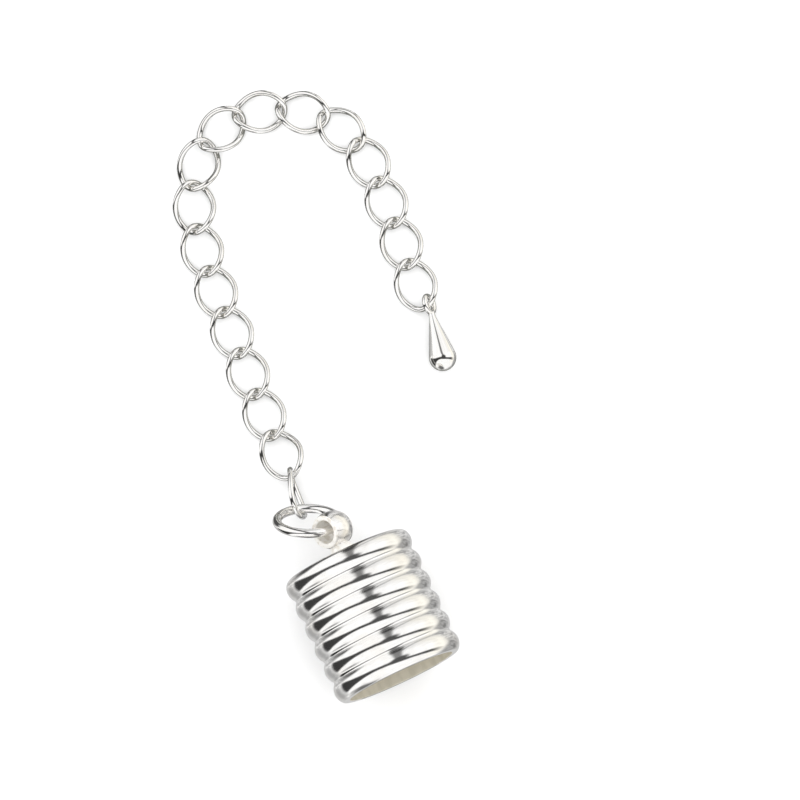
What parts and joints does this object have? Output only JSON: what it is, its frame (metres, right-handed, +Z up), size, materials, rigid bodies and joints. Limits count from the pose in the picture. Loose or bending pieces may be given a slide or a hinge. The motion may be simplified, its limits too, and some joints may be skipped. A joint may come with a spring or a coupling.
{
  "type": "fluted end cap with extender chain",
  "caption": "Round-ridged cup for a bracelet cord's end, with a cast eye, jump ring, extender chain of twisted oval links and a teardrop.",
  "frame": {"origin": "middle of the cap's mouth, on the axis of its bore, in the plane of the rim", "axes": "+Y from the mouth along the cap's axis to its closed end and eye; +Z up from the surface that the part lies on, which is 5.15 mm below the origin; +X to the right seen from the mouth"},
  "size_m": [0.0216, 0.0463, 0.0102],
  "materials": {
    "plated_casting": "polished silver plate",
    "plated_wire": "polished silver plate",
    "plated_drop": "polished silver plate"
  },
  "bodies": {
    "root": {"end_cap": "plated_casting", "jump_ring": "plated_wire", "chain_link_01": "plated_wire", "chain_link_02": "plated_wire", "chain_link_03": "plated_wire", "chain_link_04": "plated_wire", "chain_link_05": "plated_wire", "chain_link_06": "plated_wire", "chain_link_07": "plated_wire", "chain_link_08": "plated_wire", "chain_link_09": "plated_wire", "chain_link_10": "plated_wire", "chain_link_11": "plated_wire", "chain_link_12": "plated_wire", "chain_link_13": "plated_wire", "chain_link_14": "plated_wire", "chain_link_15": "plated_wire", "chain_link_16": "plated_wire", "chain_link_17": "plated_wire", "drop": "plated_drop"}
  },
  "joints": []
}
